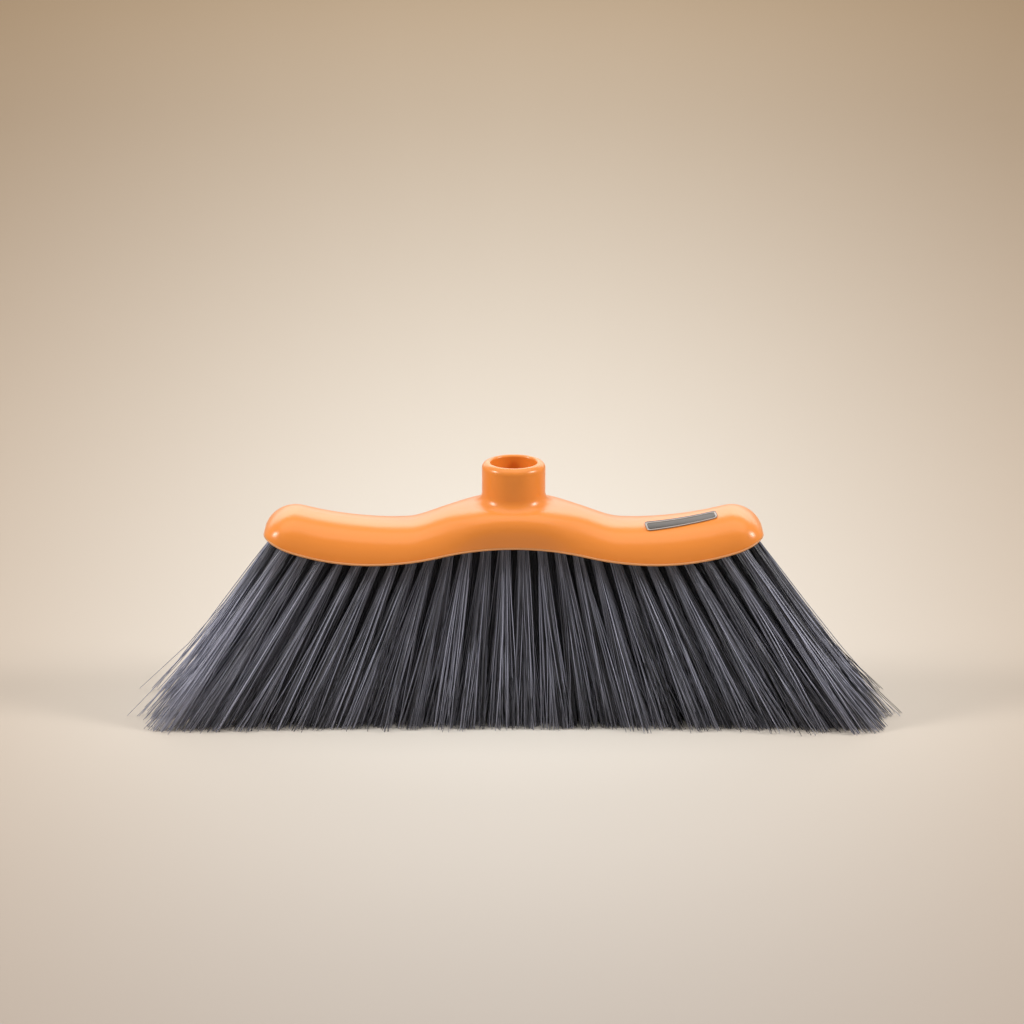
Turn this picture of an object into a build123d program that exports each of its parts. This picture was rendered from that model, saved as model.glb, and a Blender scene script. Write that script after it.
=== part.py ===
from build123d import *
import os
from dataclasses import dataclass
from math import acos, atan, cos, exp, floor, hypot, pi, sin, sqrt

# Indoor broom head standing on its bristle tips, in millimetres.
# X runs along the head, the front is -Y, +Z is up.
# The origin is on the floor, straight below the handle socket.

# Head
HEAD_LENGTH = 242.5
HEAD_DEPTH = 43.0
HEAD_WALL = 2.4
MIDDLE_THICKNESS = 18.9  # from the lower edge to the top line, in the middle
PLAN_CORNER = 13.5  # rounding of the head's four corners, seen from above
END_ROUNDING = 17.5  # rounding of the head's top towards each end
END_POWER = 1.7  # how full that rounding is: 2 is an ellipse
WING_FULLNESS = 0.71  # how full the domed section is on the wings: 0.55 is an ellipse, 1 is square
MIDDLE_FULLNESS = 0.93  # the same under the neck, where the front stands steeper
PEDESTAL_OVERHANG = 0.25  # how far the front leans out over its foot there, as a share of half the depth
PEDESTAL_REACH = 26.0  # distance from the middle over which the section changes

# Lower edge, a wave of arcs: a crest in the middle and a dip in each wing
RIM_HEIGHT = 90.2  # bristle length, from the floor to the lower edge in the middle
RIM_DROP = 8.3
RIM_DIP_AT = 69.0
RIM_CREST_RADIUS = 148.0
RIM_END_RADIUS = 122.0
LIP_HEIGHT = 1.0
LIP_PROUD = 0.7  # at front and back; it runs out towards the ends
LIP_ROUNDING = 0.4
LIP_STEP = 0.3  # the wall's inner half stops this far short of the lower edge

# Top line, a wave of the same kind
TOP_DROP = 10.7
TOP_DIP_AT = 55.6
TOP_CREST_RADIUS = 112.0
TOP_END_RADIUS = 195.0

# Neck and handle socket
NECK_DIAMETER = 30.8
NECK_RISE = 19.0
NECK_FILLET = 6.0
NECK_EDGE = 3.0
LEAD_DIAMETER = 22.5  # smooth mouth of the socket
LEAD_DEPTH = 8.0
LEAD_EDGE = 1.0
THREAD_DIAMETER = 22.0  # coarse handle thread below the mouth, at its roots
THREAD_RIDGE = 0.9
THREAD_PITCH = 5.0
THREAD_FOOT = 2.4  # width of the thread's ridge at the wall
THREAD_CREST = 1.2  # width of the ridge at its inner edge
THREAD_END_GAP = 2.0  # plain stretch at both ends of the thread
SOCKET_FLOOR = 1.8
CUP_WALL = 3.0  # wall of the cup that carries the socket down inside the head

# Badge plate on the right shoulder
BADGE_LENGTH = 35.0
BADGE_WIDTH = 7.9
BADGE_CORNER = 2.0
BADGE_PROUD = 0.5
BADGE_SUNK = 0.4
BADGE_FROM_END = 40.0
BADGE_ROUND = 0.82  # share of the way round the front curve, from the side to the top
BADGE_TURN = 6.0
BADGE_GAP = 0.1

# Tuft block inside the cover
BLOCK_GAP = 0.25  # between the block and the inside of the cover
BLOCK_WEB = 3.2  # material above the tuft holes
SEAT_WEB = 1.6  # the same under the socket's cup
SKIN_ABOVE_RIM = 0.6  # the tuft rows' backing starts this far inside the lip
SKIN_THICKNESS = 1.0
LUG_LENGTH = 8.0
LUG_HEIGHT = 1.6
LUG_PROUD = 0.8
LUG_ROOT = 2.0
LUG_ABOVE_RIM = 4.8
LUG_FROM_END = 32.0
LUG_SPACING = 56.0

# Tufts
ROW_COUNT = 4
ROW_LAND = 6.55  # from the block's side to the middle of the outer row
ROW_GAP = 0.2
TUFT_PITCH = 8.7
TUFT_LAND = 5.4  # from the block's end to the middle of the last tuft, at least
HOLE_DIAMETER = 5.2
HOLE_DEPTH = 8.0
HOLE_GAP = 0.1
TUFT_STUB = 4.5  # how far the root bundle stays together below the block
FAN_ALONG = 136.0  # height of the point that the fan spreads from, seen from the front
FAN_EASE = 0.75  # how much less the last tufts lean than such a fan would have them
FAN_ACROSS = 120.0  # the same, seen from the end
CORNER_FLARE = 0.7  # extra spread to front and back at the head's ends

# Strands, in a square of two by two to a tuft
STRANDS_A_SIDE = 2
STRAND_ROOT = 1.3
STRAND_TIP = 2.4
STRAND_MARGIN = 0.2  # from a strand's outer corner to the side of the root bundle
STRAND_TIP_SPACING = 6.8
STRAND_BURIED = 2.6

# Steel anchors across the tufts' roots
ANCHOR_BITE = 0.4  # how far an anchor's ends are driven into the hole's wall
ANCHOR_HEIGHT = 2.2
ANCHOR_THICKNESS = 0.4
ANCHOR_BELOW_ROOT = 0.8

# Fineness of the drawn surfaces
END_STATIONS = 7
MIDDLE_STATIONS = 12
SHOULDER_STATIONS = 6
END_FLAT = 0.3  # the last section stands this far short of the head's end
SECTION_BELOW_RIM = 1.0  # the domed sections start this far below the lower edge
SKIRT = 5.0  # straight sides below the domed sections, trimmed to the lower edge
OVERSIZE = 10.0  # how far cutting solids reach past what they cut


@dataclass
class Wave:
    """A line of arcs along the head: a crest in the middle, then a dip and a rise to each end."""

    crest: float
    drop: float
    dip_at: float
    crest_radius: float
    end_radius: float

    def turn_angle(self):
        """Steepest slope, where the crest's arc meets the dip's, as an angle."""
        return 2 * atan(self.drop / self.dip_at)

    def turn_at(self):
        """Distance from the middle where the crest's arc meets the dip's."""
        return self.crest_radius * sin(self.turn_angle())

    def dip_radius(self):
        """Radius of the dip's inner arc, tangent to the crest's."""
        return self.dip_at / sin(self.turn_angle()) - self.crest_radius

    def height(self, x):
        """Height of the line at x."""
        across = abs(x)
        if across < self.turn_at():
            return self.crest - self.crest_radius + sqrt(self.crest_radius**2 - across**2)
        radius = self.dip_radius() if across < self.dip_at else self.end_radius
        return self.crest - self.drop + radius - sqrt(radius**2 - (across - self.dip_at) ** 2)

    def slope(self, x):
        """Rise of the line for each millimetre along X, at x."""
        step = 0.01
        return (self.height(x + step) - self.height(x - step)) / (2 * step)

    def line(self, reach, lift):
        """The arcs from -reach to reach, drawn flat with height as Y, raised by lift."""
        half = [self.turn_at(), self.dip_at, reach]
        stops = [-x for x in reversed(half)] + half
        arcs = []
        for start, end in zip(stops, stops[1:]):
            points = [(x, self.height(x) + lift) for x in (start, (start + end) / 2, end)]
            arcs.append(ThreePointArc(*points))
        return arcs


# Heights and places that follow from the sizes above
HALF_LENGTH = HEAD_LENGTH / 2
TOP_HEIGHT = RIM_HEIGHT + MIDDLE_THICKNESS
RIM = Wave(RIM_HEIGHT, RIM_DROP, RIM_DIP_AT, RIM_CREST_RADIUS, RIM_END_RADIUS)
TOP = Wave(TOP_HEIGHT, TOP_DROP, TOP_DIP_AT, TOP_CREST_RADIUS, TOP_END_RADIUS)
NECK_TOP = TOP_HEIGHT + NECK_RISE
BLOCK_INSET = HEAD_WALL + BLOCK_GAP
BLOCK_ABOVE_RIM = SKIN_ABOVE_RIM + SKIN_THICKNESS
HOLES_ABOVE_RIM = BLOCK_ABOVE_RIM + HOLE_DEPTH
SEAT_HEIGHT = RIM_HEIGHT + HOLES_ABOVE_RIM + SEAT_WEB
CUP_RADIUS = THREAD_DIAMETER / 2 + CUP_WALL
CUP_BOTTOM = SEAT_HEIGHT + BLOCK_GAP
SOCKET_BOTTOM = CUP_BOTTOM + SOCKET_FLOOR
BADGE_AT = HALF_LENGTH - BADGE_FROM_END
ROW_PITCH = (HEAD_DEPTH - 2 * (BLOCK_INSET + ROW_LAND)) / (ROW_COUNT - 1)


def rounded(from_end, radius):
    """Height of a quarter circle of this radius, at a distance from its start."""
    return sqrt(radius**2 - (radius - min(from_end, radius)) ** 2)


def swelled(from_end, radius):
    """Share of the head's full height at a distance from its end, rounded over this radius."""
    return (1 - (1 - min(from_end, radius) / radius) ** END_POWER) ** (1 / END_POWER)


def pedestal(x):
    """How much the head has its form under the neck at x: 1 in the middle, 0 on the wings."""
    return exp(-((x / PEDESTAL_REACH) ** 4))


def section_size(x, inset):
    """Half depth, foot and height of the head's domed section at x, taken in all round by inset."""
    from_end = HALF_LENGTH - inset - abs(x)
    corner = PLAN_CORNER - inset
    half_depth = HEAD_DEPTH / 2 - inset - corner + rounded(from_end, corner)
    foot = RIM.height(x) - SECTION_BELOW_RIM
    height = (TOP.height(x) - inset - foot) * swelled(from_end, END_ROUNDING - inset)
    return half_depth, foot, height


def side_curve(x, inset, facing):
    """One side of the section at x, from its foot to the top: facing is -1 in front and 1 behind.

    Under the neck the outside leans out over its foot. The inside stays straight, so that the block can go in.
    """
    half_depth, foot, height = section_size(x, inset)
    side = facing * half_depth
    full = WING_FULLNESS + (MIDDLE_FULLNESS - WING_FULLNESS) * pedestal(x)
    lean = PEDESTAL_OVERHANG * pedestal(x) if inset < HEAD_WALL else 0
    top = foot + height
    outer = (x, side * (1 + lean), foot + full * height)
    return Bezier((x, side, foot), outer, (x, full * side, top), (x, 0, top))


def section(x, inset):
    """The head's section at x as a face: a dome over straight sides."""
    front = side_curve(x, inset, -1)
    back = side_curve(x, inset, 1)
    down = Vector(0, 0, SKIRT)
    sides = Polyline(front @ 0, front @ 0 - down, back @ 0 - down, back @ 0)
    return make_face(front.edges() + back.edges() + sides.edges())


def dome(inset):
    """The head's whole form, taken in by inset, before its lower edge is trimmed."""
    radius = END_ROUNDING - inset
    half = HALF_LENGTH - inset
    first = acos(1 - END_FLAT / radius)
    ends = []
    for step in range(END_STATIONS):
        angle = first + (pi / 2 - first) * step / END_STATIONS
        ends.append(half - radius * (1 - cos(angle)))
    middle = [(half - radius) * step / MIDDLE_STATIONS for step in range(1, MIDDLE_STATIONS + 1)]
    right = sorted(middle + ends)
    return loft([section(x, inset) for x in [-x for x in reversed(right)] + [0.0] + right])


def shoulder(inset):
    """The stretch of the head's form around the badge, taken in by inset."""
    reach = BADGE_LENGTH / 2 + BADGE_CORNER + BADGE_GAP
    step = 2 * reach / SHOULDER_STATIONS
    return loft([section(BADGE_AT - reach + step * count, inset) for count in range(SHOULDER_STATIONS + 1)])


def wave_slab(low, high, y_low=-HEAD_DEPTH, y_high=HEAD_DEPTH):
    """A slab that follows the lower edge, from low to high above it, between two places in Y."""
    reach = HALF_LENGTH + OVERSIZE
    bottom = RIM.line(reach, low)
    top = RIM.line(reach, high)
    sides = [Line(bottom[0] @ 0, top[0] @ 0), Line(bottom[-1] @ 1, top[-1] @ 1)]
    outline = Plane.XZ.offset(-y_low) * make_face(bottom + top + sides)
    return extrude(outline, y_high - y_low, dir=(0, 1, 0))


def upright(radius, low, high):
    """A round bar about the socket's axis, from low to high."""
    return Pos(0, 0, low) * Cylinder(radius, high - low, align=(Align.CENTER, Align.CENTER, Align.MIN))


def on_lip_outline(edge):
    """Whether an edge of the lip's strip runs along its outline, above or below its side."""
    point = edge @ 0.5
    outside = abs(point.X) > HALF_LENGTH - PLAN_CORNER or abs(point.Y) > HEAD_DEPTH / 2 - PLAN_CORNER
    return outside and abs((edge % 0.5).Z) < 0.9


def plan_prism(outset, end_outset):
    """The head's outline from above, moved out by outset and, at its ends, by end_outset, and carried up."""
    outline = RectangleRounded(HEAD_LENGTH + 2 * end_outset, HEAD_DEPTH + 2 * outset, PLAN_CORNER + outset)
    return extrude(Pos(0, 0, RIM_HEIGHT) * outline, RIM_HEIGHT / 2, both=True)


def make_lip():
    """The thin rounded lip that runs along the whole lower edge."""
    strip = plan_prism(LIP_PROUD, 0) & wave_slab(0, LIP_HEIGHT)
    strip = fillet(strip.edges().filter_by(on_lip_outline), LIP_ROUNDING)
    return strip - plan_prism(-HEAD_WALL / 2, -HEAD_WALL / 2)


def badge_prism(gap):
    """The badge's outline carried through the shoulder, wider by gap all round."""
    curve = side_curve(BADGE_AT, 0, -1)
    along = Vector(1, 0, TOP.slope(BADGE_AT))
    normal = along.cross(curve % BADGE_ROUND)
    plate = Plane(curve @ BADGE_ROUND, x_dir=along, z_dir=normal).rotated((0, 0, BADGE_TURN))
    outline = plate * RectangleRounded(BADGE_LENGTH + 2 * gap, BADGE_WIDTH + 2 * gap, BADGE_CORNER + gap)
    return extrude(outline, OVERSIZE, both=True)


def lugs(gap):
    """Snap lugs along the block's front and back, larger by gap all round."""
    outer = HALF_LENGTH - LUG_FROM_END
    depth = LUG_ROOT + LUG_PROUD
    middle = HEAD_DEPTH / 2 - BLOCK_INSET + LUG_PROUD - depth / 2
    bars = []
    for x in (-outer, LUG_SPACING - outer, outer - LUG_SPACING, outer):
        slope = RIM.slope(x)
        for y in (-middle, middle):
            bar = Box(LUG_LENGTH + 2 * gap, depth + 2 * gap, LUG_HEIGHT + 2 * gap)
            centre = (x, y, RIM.height(x) + LUG_ABOVE_RIM)
            bars.append(Plane(centre, x_dir=(1, 0, slope), z_dir=(-slope, 0, 1)) * bar)
    return bars


def make_body():
    """The head's form as one lump, with the neck blended into its top."""
    neck = upright(NECK_DIAMETER / 2, CUP_BOTTOM, NECK_TOP)
    neck = fillet(neck.edges().sort_by(Axis.Z)[-1], NECK_EDGE)
    body = dome(0) + neck
    roots = []
    for edge in body.edges():
        point = edge @ 0.5
        on_neck = abs(hypot(point.X, point.Y) - NECK_DIAMETER / 2) < 0.01
        if on_neck and edge.geom_type != GeomType.LINE and point.Z < NECK_TOP - NECK_EDGE - 0.01:
            roots.append(edge)
    return fillet(roots, NECK_FILLET)


def socket_thread():
    """The socket's thread: a tapered ridge wound up the wall."""
    radius = THREAD_DIAMETER / 2
    low = SOCKET_BOTTOM + THREAD_END_GAP
    high = NECK_TOP - LEAD_DEPTH - THREAD_END_GAP
    path = Pos(0, 0, low) * Helix(THREAD_PITCH, high - low, radius)
    rooted = THREAD_RIDGE / 3
    corners = [
        (rooted, -THREAD_FOOT / 2),
        (rooted, THREAD_FOOT / 2),
        (-THREAD_RIDGE, THREAD_CREST / 2),
        (-THREAD_RIDGE, -THREAD_CREST / 2),
    ]
    ridge = Plane.XZ * Pos(radius, low) * make_face(Polyline(*corners, close=True))
    return sweep(ridge, path=path, is_frenet=True)


def make_cover():
    """The glossy shell: domed wings, neck, socket cup, lip and the badge's recess."""
    recess = badge_prism(BADGE_GAP) - shoulder(BADGE_SUNK)
    shell = make_body() - [dome(HEAD_WALL), wave_slab(-OVERSIZE, LIP_STEP)]
    shell = shell + make_lip()
    shell = shell - [recess, *lugs(BLOCK_GAP)]
    shell = shell + upright(CUP_RADIUS, CUP_BOTTOM, TOP_HEIGHT)
    bore = upright(THREAD_DIAMETER / 2, SOCKET_BOTTOM, NECK_TOP)
    mouth = upright(LEAD_DIAMETER / 2, NECK_TOP - LEAD_DEPTH, NECK_TOP + OVERSIZE)
    shell = shell - [bore, mouth]
    rims = shell.edges().filter_by(GeomType.CIRCLE).group_by(Axis.Z)[-1].sort_by(SortBy.RADIUS)
    return fillet(rims[0], LEAD_EDGE) + socket_thread()


def make_badge():
    """The bare label plate, curved as the shoulder is and let into it."""
    return badge_prism(0) & (shoulder(-BADGE_PROUD) - shoulder(BADGE_SUNK))


def row_place(row):
    """Place of a tuft row in Y, the front row first."""
    return (row - (ROW_COUNT - 1) / 2) * ROW_PITCH


def tuft_places(row):
    """Where a row's tufts stand along X: every other row is shifted by half a pitch."""
    field = HALF_LENGTH - BLOCK_INSET - TUFT_LAND
    shift = 0.5 if row % 2 == 0 else 0.0
    right = [(step + shift) * TUFT_PITCH for step in range(floor(field / TUFT_PITCH - shift) + 1)]
    return [-x for x in reversed(right) if x > 0] + right


def tuft_lean(x, y):
    """How far a tuft leans along X and Y for each millimetre down."""
    flare = 1 + CORNER_FLARE * (x / HALF_LENGTH) ** 2
    return x / hypot(FAN_ALONG, FAN_EASE * x), flare * y / FAN_ACROSS


def tuft_plane(x, y):
    """A tuft's own frame: its mouth on the block's underside, its Z up along the hole."""
    lean_x, lean_y = tuft_lean(x, y)
    mouth = (x, y, RIM.height(x) + BLOCK_ABOVE_RIM)
    return Plane(mouth, x_dir=(1, 0, lean_x), z_dir=(-lean_x, -lean_y, 1))


def tuft_bar(x, y, radius, low, high):
    """A round bar along a tuft's hole, from low to high along it."""
    bar = Cylinder(radius, high - low, align=(Align.CENTER, Align.CENTER, Align.MIN))
    return tuft_plane(x, y) * Pos(0, 0, low) * bar


def make_anchors(row):
    """The flat pieces of wire that hold one row's roots in their holes."""
    top = HOLE_DEPTH - HOLE_GAP - ANCHOR_BELOW_ROOT
    plate = Box(HOLE_DIAMETER + 2 * ANCHOR_BITE, ANCHOR_THICKNESS, ANCHOR_HEIGHT)
    y = row_place(row)
    return [tuft_plane(x, y) * Pos(0, 0, top - ANCHOR_HEIGHT / 2) * plate for x in tuft_places(row)]


def square(centre, side):
    """The corners of a level square."""
    half = side / 2
    return [centre + Vector(x, y) for x, y in ((-half, -half), (half, -half), (half, half), (-half, half))]


def strand(head, foot):
    """A four-sided strand from its head in the root bundle to its flat foot on the floor."""
    top = square(head, STRAND_ROOT)
    bottom = square(foot, STRAND_TIP)
    outlines = [top, bottom]
    for here in range(4):
        after = (here + 1) % 4
        outlines.append([top[here], top[after], bottom[after], bottom[here]])
    return Solid(Shell([Face(Wire.make_polygon(outline)) for outline in outlines]))


def tuft_strands(x, y):
    """One tuft's strands, which spread from the root bundle to the floor."""
    lean_x, lean_y = tuft_lean(x, y)
    mouth = Vector(x, y, RIM.height(x) + BLOCK_ABOVE_RIM)
    lean = Vector(lean_x, lean_y, -1)
    start = mouth + lean * (TUFT_STUB - STRAND_BURIED)
    end = mouth + lean * mouth.Z
    bundle = HOLE_DIAMETER / 2 - HOLE_GAP - STRAND_MARGIN
    root_spacing = (sqrt(2) * bundle - STRAND_ROOT) / (STRANDS_A_SIDE - 1)
    middle = (STRANDS_A_SIDE - 1) / 2
    made = []
    for across in range(STRANDS_A_SIDE):
        for along in range(STRANDS_A_SIDE):
            offset = Vector(along - middle, across - middle)
            made.append(strand(start + offset * root_spacing, end + offset * STRAND_TIP_SPACING))
    return made


def row_band(row):
    """The strip of the head, in Y, that one row's backing takes up."""
    y = row_place(row)
    reach = (ROW_PITCH - ROW_GAP) / 2
    low = -HEAD_DEPTH / 2 if row == 0 else y - reach
    high = HEAD_DEPTH / 2 if row == ROW_COUNT - 1 else y + reach
    return low, high


def make_tuft_row(row, block_form):
    """One row of tufts: root bundles and strands on a slice of the block's underside."""
    backing = block_form & wave_slab(SKIN_ABOVE_RIM, BLOCK_ABOVE_RIM, *row_band(row))
    y = row_place(row)
    pieces = []
    for x in tuft_places(row):
        pieces.append(tuft_bar(x, y, HOLE_DIAMETER / 2 - HOLE_GAP, -TUFT_STUB, HOLE_DEPTH - HOLE_GAP))
        pieces += tuft_strands(x, y)
    return backing.fuse(*pieces) - make_anchors(row)


def make_tuft_block(block_form):
    """The block that the tufts are set in, with its holes, its lugs and a seat for the socket's cup."""
    block = block_form & wave_slab(BLOCK_ABOVE_RIM, HOLES_ABOVE_RIM + BLOCK_WEB)
    block = block + lugs(0)
    cuts = [upright(CUP_RADIUS + BLOCK_GAP, SEAT_HEIGHT, TOP_HEIGHT)]
    for row in range(ROW_COUNT):
        y = row_place(row)
        cuts += [tuft_bar(x, y, HOLE_DIAMETER / 2, -TUFT_STUB, HOLE_DEPTH) for x in tuft_places(row)]
        cuts += make_anchors(row)
    return block - cuts


def main():
    """Build every piece and write one file for each."""
    os.makedirs("parts", exist_ok=True)
    block_form = dome(BLOCK_INSET)
    nodes = {"cover": make_cover(), "badge": make_badge(), "tuft_block": make_tuft_block(block_form)}
    for row in range(ROW_COUNT):
        nodes[f"tuft_row_{row + 1}"] = make_tuft_row(row, block_form)
        nodes[f"anchors_row_{row + 1}"] = Compound(make_anchors(row))
    for name, piece in nodes.items():
        export_step(piece, f"parts/{name}.step")


main()
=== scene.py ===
"""Looks of an indoor broom head: glossy orange shell, bare label plate and fans of dark bristles.

Everything is in metres in the CAD part's own frame: X along the head, the front at -Y, +Z up and
the floor at Z 0.
"""

import logging
import math
from dataclasses import dataclass, field
from enum import Enum
from functools import cache

import bpy
import numpy as np
from bpy.types import Material, Node, NodeSocket, NodeTree, Object
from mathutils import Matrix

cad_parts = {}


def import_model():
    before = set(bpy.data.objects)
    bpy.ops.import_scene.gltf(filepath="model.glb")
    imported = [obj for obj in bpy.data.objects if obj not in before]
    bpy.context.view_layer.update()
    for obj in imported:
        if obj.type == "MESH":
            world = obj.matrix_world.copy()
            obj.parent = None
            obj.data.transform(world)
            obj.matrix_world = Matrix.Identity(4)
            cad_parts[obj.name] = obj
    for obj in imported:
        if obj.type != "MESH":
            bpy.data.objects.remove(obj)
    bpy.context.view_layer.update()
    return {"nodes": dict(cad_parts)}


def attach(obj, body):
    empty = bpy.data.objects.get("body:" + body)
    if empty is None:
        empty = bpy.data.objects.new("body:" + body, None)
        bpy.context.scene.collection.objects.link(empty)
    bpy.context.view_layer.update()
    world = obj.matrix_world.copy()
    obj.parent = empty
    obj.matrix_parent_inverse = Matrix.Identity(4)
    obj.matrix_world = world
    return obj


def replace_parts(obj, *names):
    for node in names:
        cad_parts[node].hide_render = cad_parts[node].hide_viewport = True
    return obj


log = logging.getLogger("broom")
MM = 0.001
Triple = tuple[float, float, float]
Array = np.ndarray
Number = np.ndarray | float


class Slot(Enum):
    """Names of material slots for the badge, block and bristles; no piece is given one here."""

    BADGE = "badge_metal"
    BLOCK = "block_plastic"
    BRISTLE = "bristle"


class SocketKind(Enum):
    """What a socket of a node group carries."""

    COLOUR = "NodeSocketColor"
    FLOAT = "NodeSocketFloat"
    VECTOR = "NodeSocketVector"


class Stagger(Enum):
    """How far a row of tufts is shifted along the head, in pitches."""

    BETWEEN = 0.5
    IN_LINE = 0.0


def link_mesh(name: str, points: Array, faces: list[Array], smooth: bool = True) -> Object:
    """Put arrays of points and faces into a new mesh object at the origin.

    Args:
        name: the piece's name.
        points: places of the vertices, one row of three each.
        faces: arrays of vertex numbers, one row to a face, each array with its own corner count.
        smooth: whether the faces are shaded smooth.

    Returns:
        The new object, linked into the scene.
    """
    mesh = bpy.data.meshes.new(name)
    corners = np.concatenate([block.ravel() for block in faces])
    totals = np.concatenate([np.full(len(block), block.shape[1]) for block in faces])
    starts = np.cumsum(totals) - totals
    mesh.vertices.add(len(points))
    mesh.vertices.foreach_set("co", points.astype(np.float32).ravel())
    mesh.loops.add(len(corners))
    mesh.loops.foreach_set("vertex_index", corners.astype(np.int32))
    mesh.polygons.add(len(totals))
    mesh.polygons.foreach_set("loop_start", starts.astype(np.int32))
    mesh.polygons.foreach_set("loop_total", totals.astype(np.int32))
    mesh.polygons.foreach_set("use_smooth", np.full(len(totals), smooth))
    mesh.update(calc_edges=True)
    mesh.validate()
    made = bpy.data.objects.new(name, mesh)
    bpy.context.scene.collection.objects.link(made)
    return made


def tube_quads(tubes: int, rings: int, sides: int, closed_path: bool = False) -> Array:
    """Vertex numbers of the quads on tubes, with vertices numbered by tube, then ring, then side.

    Args:
        tubes: how many separate tubes there are.
        rings: rings along each tube.
        sides: vertices round each ring.
        closed_path: whether the last ring joins the first again.

    Returns:
        One row of four vertex numbers to a quad, facing outwards where side and path turn
        right-handed.
    """
    spans = rings if closed_path else rings - 1
    tube, ring, side = np.indices((tubes, spans, sides))
    after_ring, after_side = (ring + 1) % rings, (side + 1) % sides
    corners = [(ring, side), (ring, after_side), (after_ring, after_side), (after_ring, side)]
    quads = [(tube * rings + along) * sides + around for along, around in corners]
    return np.stack(quads, axis=-1).reshape(-1, 4)


@dataclass(frozen=True)
class Wave:
    """A line of tangent arcs along the head: a crest in the middle, then a dip and a rise."""

    crest: float
    drop: float
    dip_at: float
    crest_radius: float
    end_radius: float

    def height(self, x: Array) -> Array:
        """Height of the line: each arc is its centre's height plus or minus a circle's half chord.

        Args:
            x: places along the head.

        Returns:
            The line's height at each place.
        """
        across = np.abs(np.asarray(x, dtype=float))
        angle = 2.0 * math.atan(self.drop / self.dip_at)
        turn = self.crest_radius * math.sin(angle)
        dip_radius = self.dip_at / math.sin(angle) - self.crest_radius
        crest = self.crest - self.crest_radius
        crest = crest + np.sqrt(self.crest_radius**2 - np.minimum(across, turn) ** 2)
        radius = np.where(across < self.dip_at, dip_radius, self.end_radius)
        past = np.where(across < turn, 0.0, across - self.dip_at)
        dip = self.crest - self.drop + radius - np.sqrt(radius**2 - past**2)
        return np.where(across < turn, crest, dip)


@dataclass(frozen=True)
class HeadForm:
    """The head's domed form, by the same sizes as the solid shell."""

    length: float = 242.5 * MM
    depth: float = 43.0 * MM
    plan_corner: float = 13.5 * MM
    end_rounding: float = 17.5 * MM
    end_power: float = 1.7
    wing_fullness: float = 0.71
    middle_fullness: float = 0.93
    pedestal_overhang: float = 0.25
    pedestal_reach: float = 26.0 * MM
    pedestal_power: int = 4
    below_rim: float = 1.0 * MM
    halvings: int = 40
    rim: Wave = Wave(
        crest=90.2 * MM,
        drop=8.3 * MM,
        dip_at=69.0 * MM,
        crest_radius=148.0 * MM,
        end_radius=122.0 * MM,
    )
    top: Wave = Wave(
        crest=109.1 * MM,
        drop=10.7 * MM,
        dip_at=55.6 * MM,
        crest_radius=112.0 * MM,
        end_radius=195.0 * MM,
    )

    @staticmethod
    def rounded(from_end: Array, radius: float) -> Array:
        """Height of a quarter circle at a distance from its start."""
        return np.sqrt(radius**2 - (radius - np.clip(from_end, 0.0, radius)) ** 2)

    @staticmethod
    def section(t: Number, full: Number, out: Number) -> tuple[Number, Number]:
        """One side of a section through the head, from the foot up and then level over the top.

        It is a cubic Bezier. Across has the control values 1, out, full and 0, and up has 0,
        full, 1 and 1.

        Args:
            t: shares of the way along the curve.
            full: how full the section is.
            out: how far it leans out above the foot, 1 for upright.

        Returns:
            Across as a share of the half depth, and up as a share of the rise.
        """
        first, second = 3 * (1 - t) ** 2 * t, 3 * (1 - t) * t**2
        return (1 - t) ** 3 + first * out + second * full, first * full + second + t**3

    def half_depth(self, x: Array, inset: float) -> Array:
        """Half the depth at x, with the plan's corners rounded, taken in by inset."""
        corner, from_end = self.plan_corner - inset, self.length / 2 - inset - np.abs(x)
        return self.depth / 2 - inset - corner + self.rounded(from_end, corner)

    def pedestal(self, x: Array) -> Array:
        """Share of the form under the neck: e to minus a power of x over its reach."""
        return np.exp(-((x / self.pedestal_reach) ** self.pedestal_power))

    def surface_height(self, x: Array, y: Array, inset: float) -> Array:
        """Height of the dome above a point of the plan.

        The section at x leans out under the neck. Its parameter t is found from y by halving, and
        the height is the foot's plus the rise times the section's way up at t.

        Args:
            x: places along the head.
            y: places across it.
            inset: how far the form is taken in all round.

        Returns:
            The height of the surface at each point.
        """
        middle = self.pedestal(x)
        full = self.wing_fullness + (self.middle_fullness - self.wing_fullness) * middle
        out = 1.0 + self.pedestal_overhang * middle
        foot = self.rim.height(x) - self.below_rim
        inside = self.length / 2 - inset - np.abs(x)
        from_end = np.clip(inside / (self.end_rounding - inset), 0.0, 1.0)
        share = (1.0 - (1.0 - from_end) ** self.end_power) ** (1.0 / self.end_power)
        rise = (self.top.height(x) - inset - foot) * share
        wanted = np.abs(y) / self.half_depth(x, inset)
        low, high = np.zeros_like(wanted), np.ones_like(wanted)
        for _ in range(self.halvings):
            t = (low + high) / 2
            beyond = self.section(t, full, out)[0] > wanted
            low, high = np.where(beyond, t, low), np.where(beyond, high, t)
        return foot + rise * self.section(t, full, out)[1]


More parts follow.
